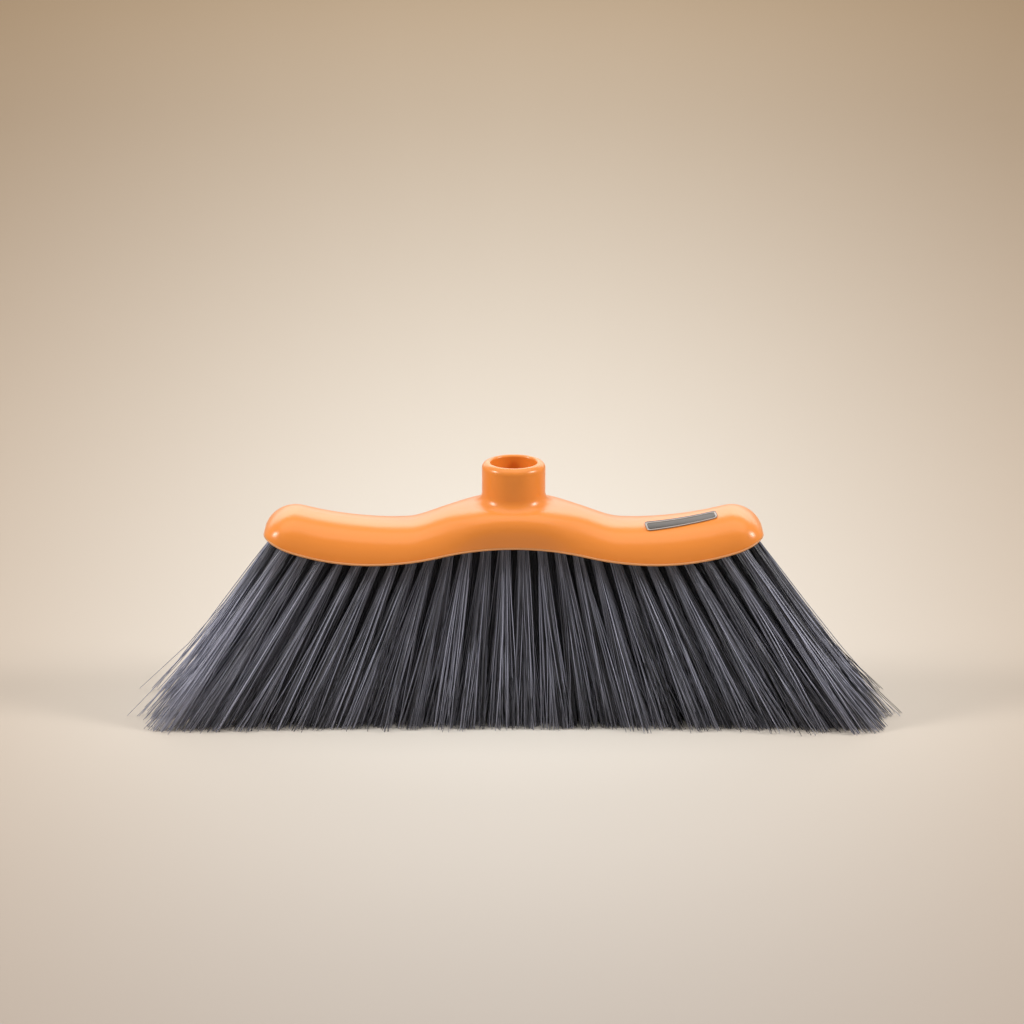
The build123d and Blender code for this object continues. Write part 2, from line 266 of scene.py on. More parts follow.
@dataclass(frozen=True)
class TuftGrid:
    """Where the tufts stand on the head, in rows from the front to the back."""

    rows: int = 4
    row_pitch: float = 8.2 * MM
    tuft_pitch: float = 8.7 * MM
    reach: float = 113.2 * MM

    def numbers(self) -> range:
        """The rows' numbers, 1 at the front."""
        return range(1, self.rows + 1)

    def row_at(self, number: int) -> float:
        """Y of a row's middle."""
        return (number - 1 - (self.rows - 1) / 2) * self.row_pitch

    def places(self, number: int) -> Array:
        """A row's tufts, at every pitch that fits, in line with or between their neighbours.

        Args:
            number: the row's number.

        Returns:
            X and Y of each tuft.
        """
        shift = (Stagger.BETWEEN if number % 2 else Stagger.IN_LINE).value
        count = int((self.reach / self.tuft_pitch - shift) // 1) + 1
        right = (np.arange(count) + shift) * self.tuft_pitch
        x = np.concatenate([-right[right > 0][::-1], right])
        return np.stack([x, np.full(len(x), self.row_at(number))], -1)


def fill_inputs(tree: NodeTree, node: Node, inputs: dict) -> None:
    """Give a node's inputs what they need.

    Args:
        tree: the tree that the node is in.
        node: the node.
        inputs: input name or number to a socket, which is linked, or to a value, which is set.
    """
    for name, given in inputs.items():
        if isinstance(given, NodeSocket):
            tree.links.new(given, node.inputs[name])
        else:
            node.inputs[name].default_value = given


def add_math(tree: NodeTree, operation: str, *terms: NodeSocket | float) -> NodeSocket:
    """Add a Math node.

    Args:
        tree: the tree that it goes into.
        operation: what the node does.
        terms: sockets or numbers for its inputs, in their order.

    Returns:
        The socket with the result.
    """
    node = tree.nodes.new("ShaderNodeMath")
    node.operation = operation
    fill_inputs(tree, node, dict(enumerate(terms)))
    return node.outputs[0]


def add_mix(
    tree: NodeTree, share: NodeSocket, first: NodeSocket | tuple, second: NodeSocket | tuple
) -> NodeSocket:
    """Add a Mix node for colours, whose sockets go by number because their names repeat.

    Args:
        tree: the tree that it goes into.
        share: how much of the second colour there is.
        first: a colour, or a socket that gives one.
        second: the other colour.

    Returns:
        The socket with the mixed colour.
    """
    factor, colour_a, colour_b, result = 0, 6, 7, 2
    node = tree.nodes.new("ShaderNodeMix")
    node.data_type = "RGBA"
    fill_inputs(tree, node, {factor: share, colour_a: first, colour_b: second})
    return node.outputs[result]


def add_attribute(tree: NodeTree, name: str) -> Node:
    """Add a node that reads one of the mesh's own attributes.

    Args:
        tree: the tree that it goes into.
        name: the attribute's name.

    Returns:
        The new node.
    """
    node = tree.nodes.new("ShaderNodeAttribute")
    node.attribute_name = name
    return node


def new_material(name: str) -> tuple[Material, Node]:
    """Make an empty node material.

    Args:
        name: the material's name.

    Returns:
        The material and its Principled BSDF.
    """
    made = bpy.data.materials.new(name)
    made.use_nodes = True
    return made, made.node_tree.nodes["Principled BSDF"]


def new_group(name: str, own: dict[str, SocketKind]) -> NodeTree:
    """Make a shader node group that gives a surface's colour, roughness and height.

    Args:
        name: the group's name.
        own: the names and kinds of its inputs besides Colour, Tint and Roughness.

    Returns:
        The group, with its input and output nodes in place.
    """
    shared = {"Colour": SocketKind.COLOUR, "Roughness": SocketKind.FLOAT}
    inputs = shared | {"Tint": SocketKind.FLOAT} | own
    group = bpy.data.node_groups.new(name, "ShaderNodeTree")
    for socket, kind in inputs.items():
        group.interface.new_socket(socket, in_out="INPUT", socket_type=kind.value)
    for socket, kind in (shared | {"Height": SocketKind.FLOAT}).items():
        group.interface.new_socket(socket, in_out="OUTPUT", socket_type=kind.value)
    group.nodes.new("NodeGroupInput")
    group.nodes.new("NodeGroupOutput")
    return group


NOISE_MIDDLE = 0.5
FLOW_SCALE, FLOW_DETAIL, GRAIN_DETAIL = 22.0, 3.0, 2.0
LINE_SCALES, LINE_DETAIL, LINE_ROUGH_SHARE = (60.0, 2600.0, 60.0), 3.0, 0.6


def shade_by(group: NodeTree, noise: NodeSocket) -> None:
    """Inside a group, make the colour darker and paler by Tint as a noise goes from 0 to 1.

    Args:
        group: the group, with Colour and Tint inputs and a Colour output.
        noise: the noise that drives it.
    """
    given, out = group.nodes["Group Input"], group.nodes["Group Output"]
    centred = add_math(group, "SUBTRACT", noise, NOISE_MIDDLE)
    gain = add_math(group, "MULTIPLY_ADD", centred, given.outputs["Tint"], 1.0)
    scaled = group.nodes.new("ShaderNodeVectorMath")
    scaled.operation = "SCALE"
    fill_inputs(group, scaled, {0: given.outputs["Colour"], "Scale": gain})
    group.links.new(scaled.outputs[0], out.inputs["Colour"])


def rough_by(group: NodeTree, noise: NodeSocket, spread: NodeSocket) -> None:
    """Inside a group, add spread times a centred noise to the roughness.

    Args:
        group: the group, with a Roughness input and output.
        noise: the noise that drives it.
        spread: the socket that holds how far the roughness moves.
    """
    given, out = group.nodes["Group Input"], group.nodes["Group Output"]
    centred = add_math(group, "SUBTRACT", noise, NOISE_MIDDLE)
    moved = add_math(group, "MULTIPLY_ADD", centred, spread, given.outputs["Roughness"])
    group.links.new(moved, out.inputs["Roughness"])


@cache
def moulded_surface_group() -> NodeTree:
    """The uneven tone, shine and fine grain of moulded plastic, on Object coordinates.

    Returns:
        The group, built once.
    """
    own = {"Rough Spread": SocketKind.FLOAT, "Grain": SocketKind.FLOAT}
    group = new_group("moulded_surface", own)
    given, out = group.nodes["Group Input"], group.nodes["Group Output"]
    place = group.nodes.new("ShaderNodeTexCoord").outputs["Object"]
    flow = group.nodes.new("ShaderNodeTexNoise")
    fill_inputs(group, flow, {"Vector": place, "Scale": FLOW_SCALE, "Detail": FLOW_DETAIL})
    grain = group.nodes.new("ShaderNodeTexNoise")
    size = given.outputs["Grain"]
    fill_inputs(group, grain, {"Vector": place, "Scale": size, "Detail": GRAIN_DETAIL})
    shade_by(group, flow.outputs["Fac"])
    rough_by(group, grain.outputs["Fac"], given.outputs["Rough Spread"])
    group.links.new(grain.outputs["Fac"], out.inputs["Height"])
    return group


@cache
def drawn_lines_group() -> NodeTree:
    """Fine lines along a metal: noise on Object coordinates, turned to the piece and stretched.

    Returns:
        The group, built once.
    """
    group = new_group("drawn_lines", {"Turn": SocketKind.VECTOR})
    given, out = group.nodes["Group Input"], group.nodes["Group Output"]
    place = group.nodes.new("ShaderNodeTexCoord").outputs["Object"]
    turned = group.nodes.new("ShaderNodeMapping")
    turn = given.outputs["Turn"]
    fill_inputs(group, turned, {"Vector": place, "Rotation": turn, "Scale": LINE_SCALES})
    lines = group.nodes.new("ShaderNodeTexNoise")
    fill_inputs(group, lines, {"Vector": turned.outputs[0], "Scale": 1.0, "Detail": LINE_DETAIL})
    spread = add_math(group, "MULTIPLY", given.outputs["Roughness"], LINE_ROUGH_SHARE)
    shade_by(group, lines.outputs["Fac"])
    rough_by(group, lines.outputs["Fac"], spread)
    group.links.new(lines.outputs["Fac"], out.inputs["Height"])
    return group


@dataclass(frozen=True)
class Finish:
    """What plastic and metal have in common: a colour and a shine, both uneven, and a relief."""

    name: str
    colour: Triple
    roughness: float
    tint: float
    bump: float

    def surfaced(self, group: NodeTree, own: dict) -> Material:
        """Build a material whose colour, roughness and normal come from a surface group.

        Args:
            group: the group, whose height goes from 0 to 1.
            own: the values of its inputs besides Colour, Tint and Roughness.

        Returns:
            The new material.
        """
        made, shader = new_material(self.name)
        tree = made.node_tree
        surface = tree.nodes.new("ShaderNodeGroup")
        surface.node_tree = group
        shared = {"Colour": (*self.colour, 1.0), "Tint": self.tint, "Roughness": self.roughness}
        fill_inputs(tree, surface, shared | own)
        bump = tree.nodes.new("ShaderNodeBump")
        fill_inputs(tree, bump, {"Distance": self.bump, "Height": surface.outputs["Height"]})
        inputs = {
            "Base Color": surface.outputs["Colour"],
            "Roughness": surface.outputs["Roughness"],
            "Normal": bump.outputs["Normal"],
        }
        fill_inputs(tree, shader, inputs)
        return made


@dataclass(frozen=True)
class Moulded(Finish):
    """A moulded plastic with a fine grain."""

    rough_spread: float
    grain: float

    def material(self) -> Material:
        """Build the material from the moulded-surface group."""
        own = {"Rough Spread": self.rough_spread, "Grain": self.grain}
        return self.surfaced(moulded_surface_group(), own)


@dataclass(frozen=True)
class LippedShell(Moulded):
    """The shell's moulded plastic, with a painted highlight: a pale colour along the thin lip at
    its lower edge.
    """

    painted_highlight: Triple
    lip_height: float
    fade: float
    head: HeadForm
    steps: int = 25

    def edge_height(self, tree: NodeTree, x: NodeSocket) -> NodeSocket:
        """Nodes for the lower edge's height: a curve of the distance from the head's middle.

        Args:
            tree: the material's node tree.
            x: the socket that gives the place along the head.

        Returns:
            The socket with the height.
        """
        reach = self.head.length / 2
        share = np.linspace(0.0, 1.0, self.steps)
        heights = self.head.rim.height(share * reach)
        low, span = heights.min(), np.ptp(heights)
        level = (heights - low) / span
        edge = tree.nodes.new("ShaderNodeFloatCurve")
        points = edge.mapping.curves[0].points
        points[0].location = (share[0], level[0])
        points[1].location = (share[-1], level[-1])
        for at, height in zip(share[1:-1], level[1:-1]):
            points.new(at, height)
        edge.mapping.update()
        across = add_math(tree, "ABSOLUTE", x)
        fill_inputs(tree, edge, {"Value": add_math(tree, "DIVIDE", across, reach)})
        return add_math(tree, "MULTIPLY_ADD", edge.outputs[0], span, low)

    def material(self) -> Material:
        """Build the moulded material and mix a pale painted-highlight colour in along the lip.

        The mix falls from 1 to 0 where a point is as far above the lower edge as the lip is tall.

        Returns:
            The new material.
        """
        made = super().material()
        tree = made.node_tree
        base = tree.nodes["Principled BSDF"].inputs["Base Color"]
        plain = base.links[0].from_socket
        place = tree.nodes.new("ShaderNodeTexCoord")
        split = tree.nodes.new("ShaderNodeSeparateXYZ")
        tree.links.new(place.outputs["Object"], split.inputs[0])
        edge = self.edge_height(tree, split.outputs["X"])
        highlight_mask = tree.nodes.new("ShaderNodeMapRange")
        highlight_mask.interpolation_type = "SMOOTHSTEP"
        inputs = {
            "Value": add_math(tree, "SUBTRACT", split.outputs["Z"], edge),
            "From Min": self.lip_height,
            "From Max": self.lip_height + self.fade,
            "To Min": 1.0,
            "To Max": 0.0,
        }
        fill_inputs(tree, highlight_mask, inputs)
        # Painted highlight: the lip is drawn paler where its rounded edge would catch the light.
        mixed = add_mix(tree, highlight_mask.outputs["Result"], plain, (*self.painted_highlight, 1.0))
        tree.links.new(mixed, base)
        return made


@dataclass(frozen=True)
class Strand:
    """Drawn bristle filament: each one has its own tone, with painted shade and painted light on
    top, and the tips are a little paler.
    """

    name: str
    dark: Triple
    pale: Triple
    tip_lift: float
    roughness: float
    tip_power: float = 3.0

    def material(self) -> Material:
        """Build the material from the filaments' tone attribute, which holds their own tone with
        painted shade and light, and their along attribute.

        Returns:
            The new material.
        """
        made, shader = new_material(self.name)
        tree = made.node_tree
        tone_and_painted_light, along = add_attribute(tree, "tone_and_painted_light"), add_attribute(tree, "along")
        tip = add_math(tree, "POWER", along.outputs["Fac"], self.tip_power)
        share = add_math(tree, "MULTIPLY_ADD", tip, self.tip_lift, tone_and_painted_light.outputs["Fac"])
        colour = add_mix(tree, share, (*self.dark, 1.0), (*self.pale, 1.0))
        fill_inputs(tree, shader, {"Base Color": colour, "Roughness": self.roughness})
        return made


@dataclass(frozen=True)
class Metal(Finish):
    """A metal with fine lines drawn along it."""

    turn: float = 0.0
    metallic: float = 1.0

    def material(self) -> Material:
        """Build the material: noise stretched along the lines drives tone, roughness and bump.

        Returns:
            The new material.
        """
        made = self.surfaced(drawn_lines_group(), {"Turn": (0.0, 0.0, self.turn)})
        made.node_tree.nodes["Principled BSDF"].inputs["Metallic"].default_value = self.metallic
        return made


BADGE_TURN = math.radians(6.0)
ORANGE = LippedShell(
    name="orange_gloss",
    colour=(0.845, 0.263, 0.035),
    roughness=0.28,
    tint=0.05,
    rough_spread=0.02,
    grain=1600.0,
    bump=0.001 * MM,
    # Pale lip colour: a painted highlight along the lower edge.
    painted_highlight=(0.62, 0.27, 0.095),
    lip_height=1.0 * MM,
    fade=0.3 * MM,
    head=HeadForm(),
)
DARK = Moulded(
    name="dark_block",
    colour=(0.013, 0.013, 0.015),
    roughness=0.55,
    tint=0.2,
    rough_spread=0.2,
    grain=1400.0,
    bump=0.02 * MM,
)
BRISTLE = Strand(
    name="dark_bristle",
    dark=(0.018, 0.019, 0.024),
    pale=(0.44, 0.455, 0.575),
    tip_lift=0.04,
    roughness=0.38,
)
PLATE = Metal(
    name="label_plate",
    colour=(0.048, 0.043, 0.042),
    roughness=0.42,
    tint=0.5,
    bump=0.01 * MM,
    turn=-BADGE_TURN,
    metallic=0.2,
)
FRAME = Metal(
    name="label_frame",
    colour=(0.3, 0.275, 0.265),
    roughness=0.34,
    tint=0.25,
    bump=0.005 * MM,
    turn=-BADGE_TURN,
)
STEEL = Metal(
    name="anchor_wire", colour=(0.52, 0.52, 0.53), roughness=0.34, tint=0.3, bump=0.005 * MM
)


@dataclass
class CarriedNodes:
    """The CAD nodes that show as they are, and the finish of each."""

    finishes: dict[str, Moulded | Metal] = field(
        default_factory=lambda: {
            "cover": ORANGE,
            "badge": PLATE,
            "tuft_block": DARK,
            **{f"anchors_row_{row}": STEEL for row in TuftGrid().numbers()},
        }
    )

    def dress(self, nodes: dict[str, Object]) -> None:
        """Give each node its own material.

        Args:
            nodes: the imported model's nodes by name.
        """
        made: dict[str, Material] = {}
        for name, finish in self.finishes.items():
            if finish.name not in made:
                made[finish.name] = finish.material()
            mesh = nodes[name].data
            mesh.materials.clear()
            mesh.materials.append(made[finish.name])
            log.info("%s keeps its solid, finish %s", name, finish.name)


@dataclass
class BadgeFrame:
    """The thin raised metal edge of the bare label plate on the right shoulder."""

    head: HeadForm
    length: float = 35.0 * MM
    width: float = 7.9 * MM
    corner: float = 2.0 * MM
    from_end: float = 40.0 * MM
    round_at: float = 0.82
    turn: float = BADGE_TURN
    proud: float = 0.5 * MM
    edge: float = 0.5 * MM
    bead_width: float = 0.42 * MM
    bead_height: float = 0.26 * MM
    corner_steps: int = 10
    edge_steps: int = 28
    bead_steps: int = 10
    drop_steps: int = 12
    slope_step: float = 0.01 * MM

    def plane(self) -> tuple[Array, Array, Array, Array]:
        """The plate's flat reference plane.

        Its middle is a point on the front curve at the badge's place, and its first direction is
        the top line's slope there. Its normal is the cross product of that with the curve's
        tangent. The directions are turned about the normal by the badge's turn.

        Returns:
            The middle, the direction along the plate, the one across it, and the normal.
        """
        head, t, step = self.head, self.round_at, self.slope_step
        x = np.array([head.length / 2 - self.from_end])
        full = head.wing_fullness
        front = -float(head.half_depth(x, 0.0)[0])
        foot = float(head.rim.height(x)[0]) - head.below_rim
        rise = float(head.top.height(x)[0]) - foot
        across, up = head.section(t, full, 1.0)
        middle = np.array([x[0], front * across, foot + rise * up])
        first = 3 * ((1 - t) ** 2 - 2 * t * (1 - t))
        second = 3 * (2 * t - 3 * t**2)
        across_rate = -3 * (1 - t) ** 2 + first + second * full
        up_rate = first * full + second + 3 * t**2
        slope = float((head.top.height(x + step) - head.top.height(x - step))[0]) / (2 * step)
        flat = np.array([1.0, 0.0, slope]) / math.hypot(1.0, slope)
        normal = np.cross(flat, [0.0, front * across_rate, rise * up_rate])
        normal /= np.linalg.norm(normal)
        along = flat * math.cos(self.turn) + np.cross(normal, flat) * math.sin(self.turn)
        return middle, along, np.cross(normal, along), normal

    def outline(self) -> tuple[Array, Array]:
        """The rounded rectangle: corner centres that slide along the edges, and the way outwards.

        Returns:
            Centres and outward directions, one row of two each, once round.
        """
        half = np.array([self.length / 2 - self.corner, self.width / 2 - self.corner])
        signs = np.array([[1.0, 1.0], [-1.0, 1.0], [-1.0, -1.0], [1.0, -1.0]])
        run = np.linspace(0.0, 1.0, self.edge_steps + 2)[1:-1, None]
        centres, angles = [], []
        for quarter, here in enumerate(signs * half):
            sweep = (quarter + np.linspace(0.0, 1.0, self.corner_steps)) * math.pi / 2
            after = signs[(quarter + 1) % len(signs)] * half
            centres += [np.repeat(here[None], self.corner_steps, 0), here + (after - here) * run]
            angles += [sweep, np.full(self.edge_steps, sweep[-1])]
        turn = np.concatenate(angles)
        return np.concatenate(centres), np.stack([np.cos(turn), np.sin(turn)], -1)

    def points(self) -> Array:
        """A bead carried round the outline: an ellipse between the way outwards and the normal.

        Each point is dropped along the plate's normal until it meets the domed surface, in a few
        steps.

        Returns:
            Vertices by place along the outline, then round the bead.
        """
        middle, along, across, normal = self.plane()
        centre, outward = self.outline()
        turn = np.arange(self.bead_steps) * 2 * math.pi / self.bead_steps
        reach = self.corner - self.edge + self.bead_width * np.cos(turn)
        flat = centre[:, None] + outward[:, None] * reach[None, :, None]
        level = middle + flat[..., :1] * along + flat[..., 1:] * across
        lifted = np.zeros(flat.shape[:2])
        for _ in range(self.drop_steps):
            at = level + lifted[..., None] * normal
            surface = self.head.surface_height(at[..., 0], at[..., 1], -self.proud)
            lifted += (surface - at[..., 2]) * normal[2]
        lifted = lifted + self.bead_height * np.sin(turn)
        return level + lifted[..., None] * normal

    def build(self) -> None:
        """Make the frame, dress it and let it ride on the head."""
        points = self.points()
        rings, sides = points.shape[:2]
        quads = tube_quads(1, rings, sides, closed_path=True)[:, ::-1]
        made = link_mesh("badge_frame", points.reshape(-1, 3), [quads])
        made.data.materials.append(FRAME.material())
        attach(made, "root")
        log.info("badge_frame: %d faces", len(made.data.polygons))


@dataclass
class BristleRow:
    """One row of tufts: fine filaments that leave their holes in bundles and fan out below."""

    head: HeadForm
    grid: TuftGrid
    number: int
    finish: Material
    seed: int = 100
    block_above_rim: float = 1.6 * MM
    hole_reach: float = 5.0 * MM
    fan_along: float = 136.0 * MM
    fan_ease: float = 0.75
    fan_across: float = 120.0 * MM
    corner_flare: float = 0.7
    clumps: int = 40
    filaments: int = 4
    sides: int = 3
    stations: tuple[float, ...] = (0.0, 0.03, 0.22, 0.46, 0.72, 1.0)
    thickness: float = 0.5 * MM
    taper: float = 0.35
    taper_power: int = 3
    root_radius: float = 2.5 * MM
    root_jitter: float = 0.3 * MM
    tip_radius: float = 9.6 * MM
    tip_order: float = 0.75
    tip_stray: float = 2.2 * MM
    tip_jitter: float = 1.3 * MM
    blend_power: float = 1.45
    bow: float = 0.9 * MM
    end_power: int = 8
    end_spread: float = 0.25
    front_pull: float = 5.0 * MM
    left_pull: float = 11.5 * MM
    right_pull: float = 14.0 * MM
    front_flick: float = 5.5 * MM
    back_flick: float = 7.0 * MM
    flick_power: int = 3
    end_stray: float = 3.6 * MM
    end_stray_most: float = 10.8 * MM
    end_stray_share: float = 0.2
    floor_clear: float = 0.02 * MM
    tip_clear: float = 0.15 * MM
    tip_uneven: float = 0.45 * MM
    short_share: float = 0.03
    short_most: float = 9.0 * MM
    left_power: int = 9
    left_thin: float = 0.68
    # Painted light: filaments are drawn paler towards the left end.
    left_painted_light: float = 0.75
    dark_share: float = 0.4
    dark_tones: tuple[float, float] = (0.0, 0.08)
    pale_share: float = 0.26
    pale_tones: tuple[float, float] = (0.6, 1.05)
    usual_tone: float = 0.37
    usual_spread: float = 0.07
    clump_shares: tuple[float, float] = (0.95, 1.05)
    tone_most: float = 1.5
    apart_from: float = 0.5
    root_contrast: float = 0.25
    inner_root_shade: float = 0.1
    tufts: Array = field(init=False)
    shape: tuple[int, int, int] = field(init=False)
    count: int = field(init=False)
    rng: np.random.Generator = field(init=False)

    def __post_init__(self) -> None:
        """Place the tufts, count the filaments by tuft and clump, and start the row's draws."""
        self.tufts = self.grid.places(self.number)
        self.shape = (len(self.tufts), self.clumps, self.filaments)
        self.count = math.prod(self.shape)
        self.rng = np.random.default_rng(self.seed + self.number)

    def by_row(self, front: float, back: Number) -> Number:
        """A value between the front row's and the back row's, by the row's number."""
        share = (self.number - 1) / (self.grid.rows - 1)
        return back * share + front * (1 - share)

    def offsets(self) -> tuple[Array, Array]:
        """Where each filament stands in its tuft's root and at the floor.

        Filaments keep to clumps, which are spread evenly over the root: a clump's radius goes as
        the square root of an even share. Its place at the floor is its place in the root, widened,
        plus a stray, and each filament strays a little from its clump at both ends.

        Returns:
            Offsets at the root and at the floor, one row of two to a filament.
        """
        rng, shape = self.rng, self.shape
        turn = rng.uniform(0.0, 2 * math.pi, shape[:2])
        out = (self.root_radius - self.root_jitter) * np.sqrt(rng.uniform(0.0, 1.0, shape[:2]))
        clump_root = np.stack([out * np.cos(turn), out * np.sin(turn)], -1)
        widened = clump_root * self.tip_radius / self.root_radius * self.tip_order
        clump_tip = widened + rng.normal(0.0, self.tip_stray, clump_root.shape)
        root = clump_root[:, :, None] + rng.normal(0.0, self.root_jitter, (*shape, 2))
        away = np.linalg.norm(root, axis=-1, keepdims=True)
        root *= self.root_radius / np.maximum(away, self.root_radius)
        tip = clump_tip[:, :, None] + rng.normal(0.0, self.tip_jitter, (*shape, 2))
        return root.reshape(-1, 2), tip.reshape(-1, 2)

    def leans(self, at: Array) -> Array:
        """Which way the filaments fan out: a slope along and across for each unit of fall.

        Along the head it is x over the hypotenuse of the fan's reach and an eased x. Across it is y
        over the fan's reach, with a flare that grows as the square of x.

        Args:
            at: X and Y of each filament's tuft.

        Returns:
            One row of three to a filament, with -1 for Z.
        """
        x, y = at.T
        flare = 1.0 + self.corner_flare * (x / (self.head.length / 2)) ** 2
        along = x / np.hypot(self.fan_along, self.fan_ease * x)
        return np.stack([along, flare * y / self.fan_across, -np.ones(len(at))], -1)

    def flicks(self) -> Array:
        """How far the tips flick out at the head's ends: by the row, and more for some of them.

        Returns:
            One length to a filament.
        """
        stray = np.minimum(self.rng.exponential(self.end_stray, self.count), self.end_stray_most)
        some = self.rng.uniform(size=self.count) < self.end_stray_share
        return self.by_row(self.front_flick, self.back_flick) + np.where(some, stray, 0.0)

    def gaps(self) -> Array:
        """How far above the floor the filaments end: a little uneven, with a few short ones.

        Returns:
            One height to a filament.
        """
        few = self.rng.uniform(size=self.count) < self.short_share
        short = np.where(few, self.rng.uniform(0.0, self.short_most, self.count), 0.0)
        return self.tip_clear + np.abs(self.rng.normal(0.0, self.tip_uneven, self.count)) + short

    def paths(self) -> tuple[Array, Array]:
        """The line that each filament follows from its hole to the floor.

        A point at share w of the way down is the tuft's mouth plus the lean times the fall so far,
        plus the root's offset blended into the tip's by a power of w, plus a bow of 4 w (1 - w).
        The first point is in the hole. At the head's ends the tufts are drawn in a little, and
        their tips flick out again by another power of w.

        Returns:
            Points by filament and station, and each filament's lean as a direction.
        """
        at = np.repeat(self.tufts, self.clumps * self.filaments, axis=0)
        x, share = at[:, 0], np.array(self.stations)
        lean = self.leans(at)
        mouth = self.head.rim.height(x) + self.block_above_rim
        root, tip = self.offsets()
        outmost = (x / self.grid.reach) ** self.end_power
        pull = self.by_row(self.front_pull, np.where(x > 0, self.right_pull, self.left_pull))
        tip[:, 0] *= 1.0 + self.end_spread * outmost
        tip[:, 0] -= np.sign(x) * pull * outmost
        flick = np.sign(x) * self.flicks() * outmost
        fall = share * (mouth - self.gaps())[:, None]
        fall[:, 0] = -self.hole_reach
        blend = share[:, None] ** self.blend_power
        bulge = (4 * share * (1 - share))[:, None]
        bend = self.rng.normal(0.0, self.bow, (self.count, 1, 2)) * bulge
        points = np.empty((self.count, len(share), 3))
        points[..., :2] = at[:, None] + lean[:, None, :2] * fall[..., None]
        points[..., :2] += root[:, None] * (1 - blend) + tip[:, None] * blend + bend
        points[..., 0] += flick[:, None] * share**self.flick_power
        points[..., 2] = mouth[:, None] - fall
        return points, lean / np.linalg.norm(lean, axis=1, keepdims=True)

    def tubes(self, points: Array, lean: Array) -> Array:
        """Rings of a few sides square to the lean round every station.

        The radius is half the thickness, less a share that grows as a power of the way down.

        Args:
            points: points by filament and station.
            lean: each filament's direction.

        Returns:
            Vertices by filament, station and side.
        """
        first = np.stack([-lean[:, 2], np.zeros(len(lean)), lean[:, 0]], -1)
        first /= np.linalg.norm(first, axis=1, keepdims=True)
        second = np.cross(lean, first)
        around = np.arange(self.sides) * 2 * math.pi / self.sides
        turn = (self.rng.uniform(0.0, 2 * math.pi, (len(lean), 1)) + around)[..., None]
        ring = np.cos(turn) * first[:, None] + np.sin(turn) * second[:, None]
        thinned = 1.0 - self.taper * np.array(self.stations) ** self.taper_power
        tubes = points[:, :, None] + ring[:, None] * (self.thickness / 2 * thinned)[:, None, None]
        tubes[..., 2] = np.maximum(tubes[..., 2], self.floor_clear)
        return tubes

    def leftmost(self) -> Array:
        """How near each tuft is to the thin left end, whose filaments are painted paler as painted
        light: a power of x over the reach.
        """
        x = self.tufts[:, 0]
        return np.clip(-x / self.grid.reach, 0.0, 1.0)[:, None, None] ** self.left_power

    def tones_and_painted_light(self) -> Array:
        """How pale each filament is at each station, painted shade and painted light included.

        A filament is dark, middling or pale by a draw of its own, times a share for its clump, plus
        painted light towards the left end.
        Towards the root the tones come together, and the inner rows are darkened near the root as
        painted shade under the head.

        Returns:
            Tones by filament and station.
        """
        rng, shape = self.rng, self.shape
        draw = rng.uniform(size=shape)
        kinds = [draw < self.dark_share, draw > 1.0 - self.pale_share]
        ends = [rng.uniform(*self.dark_tones, shape), rng.uniform(*self.pale_tones, shape)]
        own = np.select(kinds, ends, rng.normal(self.usual_tone, self.usual_spread, shape))
        own = own * rng.uniform(*self.clump_shares, (*shape[:2], 1))
        # Painted light: paler filaments towards the left end.
        own = (own + self.left_painted_light * self.leftmost()).reshape(-1, 1)
        down = np.clip(np.array(self.stations) / self.apart_from, 0.0, 1.0)
        even = self.root_contrast + (1.0 - self.root_contrast) * down
        # Painted shade: the inner rows' filaments are darkened near the root, where the head would
        # shade them.
        inner = 1 < self.number < self.grid.rows
        shade = 1.0 - (1.0 - self.inner_root_shade) * (1.0 - down) * inner
        tones_and_painted_light = (self.usual_tone + (own - self.usual_tone) * even) * shade
        return np.clip(tones_and_painted_light, 0.0, self.tone_most)

    def kept(self) -> Array:
        """Which filaments there are: towards the left end more and more of them are missing."""
        return (self.rng.uniform(size=self.shape) >= self.left_thin * self.leftmost()).reshape(-1)

    def build(self) -> None:
        """Make the row, dress it, let it ride on the head and stand for the solid row."""
        points, lean = self.paths()
        tones_and_painted_light = self.tones_and_painted_light()
        kept = self.kept()
        vertices = self.tubes(points[kept], lean[kept])
        count, rings, sides = vertices.shape[:3]
        root_cap = (np.arange(count) * rings * sides)[:, None] + np.arange(sides)
        tip_cap = root_cap + (rings - 1) * sides
        name = f"bristles_row_{self.number}"
        faces = [tube_quads(count, rings, sides), root_cap[:, ::-1], tip_cap]
        made = link_mesh(name, vertices.reshape(-1, 3), faces)
        along = np.array(self.stations)[None, :, None]
        for label, shares in (("along", along), ("tone_and_painted_light", tones_and_painted_light[kept][:, :, None])):
            values = np.broadcast_to(shares, (count, rings, sides)).astype(np.float32)
            attribute = made.data.attributes.new(label, "FLOAT", "POINT")
            attribute.data.foreach_set("value", values.ravel())
        made.data.materials.append(self.finish)
        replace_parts(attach(made, "root"), f"tuft_row_{self.number}")
        log.info("%s: %d tufts, %d filaments", name, len(self.tufts), count)


